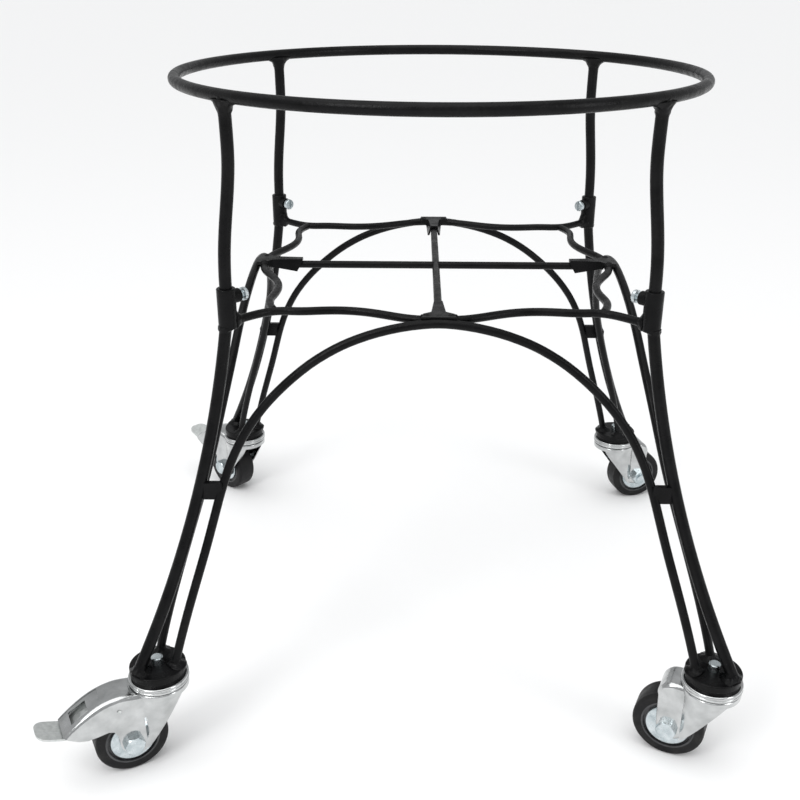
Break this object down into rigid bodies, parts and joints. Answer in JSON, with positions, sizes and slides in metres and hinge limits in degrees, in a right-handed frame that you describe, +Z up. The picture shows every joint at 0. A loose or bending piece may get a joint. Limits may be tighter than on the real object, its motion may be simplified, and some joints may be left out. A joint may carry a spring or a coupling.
{
  "type": "rolling ring stand",
  "caption": "Wire-rod stand with a round top ring, bowed corner legs and arched braces over a cross-braced deck, on swivel casters with foot brakes on one side",
  "frame": {"origin": "on the floor under the centre of the top ring", "axes": "+Z up, +X to the right, -Y towards the front; the ring lies level"},
  "size_m": [0.5039, 0.4848, 0.4453],
  "materials": {
    "black_powder_coat": "semi-gloss powder coat",
    "bright_chrome": "bright",
    "zinc_plate": "bright zinc plate",
    "tyre_rubber": "matt",
    "hub_plastic": "satin",
    "pedal_steel": "grey zinc plate"
  },
  "bodies": {
    "frame": {"socket_front_left": "black_powder_coat", "leg_front_left": "black_powder_coat", "plate_front_left": "black_powder_coat", "socket_front_right": "black_powder_coat", "leg_front_right": "black_powder_coat", "plate_front_right": "black_powder_coat", "socket_rear_left": "black_powder_coat", "leg_rear_left": "black_powder_coat", "plate_rear_left": "black_powder_coat", "socket_rear_right": "black_powder_coat", "leg_rear_right": "black_powder_coat", "plate_rear_right": "black_powder_coat", "arch_front": "black_powder_coat", "deck_rail_front": "black_powder_coat", "arch_right": "black_powder_coat", "deck_rail_right": "black_powder_coat", "arch_rear": "black_powder_coat", "deck_rail_rear": "black_powder_coat", "arch_left": "black_powder_coat", "deck_rail_left": "black_powder_coat", "deck_bar_long": "black_powder_coat", "deck_bars_short": "black_powder_coat", "gussets": "black_powder_coat", "leg_ties": "black_powder_coat", "caster_stems": "zinc_plate", "race_caps": "bright_chrome", "dust_washers": "black_powder_coat", "swivel_balls": "bright_chrome"},
    "ring_assembly": {"ring": "black_powder_coat", "post_front_left": "black_powder_coat", "post_front_right": "black_powder_coat", "post_rear_left": "black_powder_coat", "post_rear_right": "black_powder_coat"},
    "set_screw_front_left": {"set_screw_front_left": "zinc_plate"},
    "set_screw_front_right": {"set_screw_front_right": "zinc_plate"},
    "set_screw_rear_left": {"set_screw_rear_left": "zinc_plate"},
    "set_screw_rear_right": {"set_screw_rear_right": "zinc_plate"},
    "caster_front_left": {"fork_front_left": "bright_chrome", "axle_front_left": "zinc_plate"},
    "wheel_front_left": {"tyre_front_left": "tyre_rubber", "hub_front_left": "hub_plastic", "wheel_caps_front_left": "zinc_plate"},
    "brake_front_left": {"brake_pedal_front_left": "pedal_steel"},
    "caster_front_right": {"fork_front_right": "bright_chrome", "axle_front_right": "zinc_plate"},
    "wheel_front_right": {"tyre_front_right": "tyre_rubber", "hub_front_right": "hub_plastic", "wheel_caps_front_right": "zinc_plate"},
    "caster_rear_left": {"fork_rear_left": "bright_chrome", "axle_rear_left": "zinc_plate"},
    "wheel_rear_left": {"tyre_rear_left": "tyre_rubber", "hub_rear_left": "hub_plastic", "wheel_caps_rear_left": "zinc_plate"},
    "brake_rear_left": {"brake_pedal_rear_left": "pedal_steel"},
    "caster_rear_right": {"fork_rear_right": "bright_chrome", "axle_rear_right": "zinc_plate"},
    "wheel_rear_right": {"tyre_rear_right": "tyre_rubber", "hub_rear_right": "hub_plastic", "wheel_caps_rear_right": "zinc_plate"}
  },
  "joints": [
    {"name": "ring_lift", "type": "slide", "parent": "frame", "child": "ring_assembly", "axis": [0, 0, 1], "range_m": [0, 0.02]},
    {"name": "set_screw_turn_front_left", "type": "hinge", "parent": "frame", "child": "set_screw_front_left", "pos_m": [-0.12657, -0.12657, 0.3183], "axis": [0.7071, 0.7071, 0], "range_deg": [0, 720]},
    {"name": "set_screw_turn_front_right", "type": "hinge", "parent": "frame", "child": "set_screw_front_right", "pos_m": [0.12657, -0.12657, 0.3183], "axis": [-0.7071, 0.7071, 0], "range_deg": [0, 720]},
    {"name": "set_screw_turn_rear_left", "type": "hinge", "parent": "frame", "child": "set_screw_rear_left", "pos_m": [-0.12657, 0.12657, 0.3183], "axis": [0.7071, -0.7071, 0], "range_deg": [0, 720]},
    {"name": "set_screw_turn_rear_right", "type": "hinge", "parent": "frame", "child": "set_screw_rear_right", "pos_m": [0.12657, 0.12657, 0.3183], "axis": [-0.7071, -0.7071, 0], "range_deg": [0, 720]},
    {"name": "caster_swivel_front_left", "type": "hinge", "parent": "frame", "child": "caster_front_left", "pos_m": [-0.189, -0.189, 0.07], "axis": [0, 0, 1], "continuous": true},
    {"name": "wheel_spin_front_left", "type": "hinge", "parent": "caster_front_left", "child": "wheel_front_left", "pos_m": [-0.21019, -0.20027, 0.025], "axis": [0.4695, -0.8829, 0], "continuous": true},
    {"name": "brake_press_front_left", "type": "hinge", "parent": "caster_front_left", "child": "brake_front_left", "pos_m": [-0.21637, -0.20355, 0.054], "axis": [0.4695, -0.8829, 0], "range_deg": [0, 7.3]},
    {"name": "caster_swivel_front_right", "type": "hinge", "parent": "frame", "child": "caster_front_right", "pos_m": [0.189, -0.189, 0.07], "axis": [0, 0, 1], "continuous": true},
    {"name": "wheel_spin_front_right", "type": "hinge", "parent": "caster_front_right", "child": "wheel_front_right", "pos_m": [0.16725, -0.17886, 0.025], "axis": [-0.4226, -0.9063, 0], "continuous": true},
    {"name": "caster_swivel_rear_left", "type": "hinge", "parent": "frame", "child": "caster_rear_left", "pos_m": [-0.189, 0.189, 0.07], "axis": [0, 0, 1], "continuous": true},
    {"name": "wheel_spin_rear_left", "type": "hinge", "parent": "caster_rear_left", "child": "wheel_rear_left", "pos_m": [-0.20683, 0.20506, 0.025], "axis": [-0.6691, -0.7431, 0], "continuous": true},
    {"name": "brake_press_rear_left", "type": "hinge", "parent": "caster_rear_left", "child": "brake_rear_left", "pos_m": [-0.21204, 0.20974, 0.054], "axis": [-0.6691, -0.7431, 0], "range_deg": [0, 7.3]},
    {"name": "caster_swivel_rear_right", "type": "hinge", "parent": "frame", "child": "caster_rear_right", "pos_m": [0.189, 0.189, 0.07], "axis": [0, 0, 1], "continuous": true},
    {"name": "wheel_spin_rear_right", "type": "hinge", "parent": "caster_rear_right", "child": "wheel_rear_right", "pos_m": [0.21218, 0.19521, 0.025], "axis": [-0.2588, 0.9659, 0], "continuous": true}
  ]
}
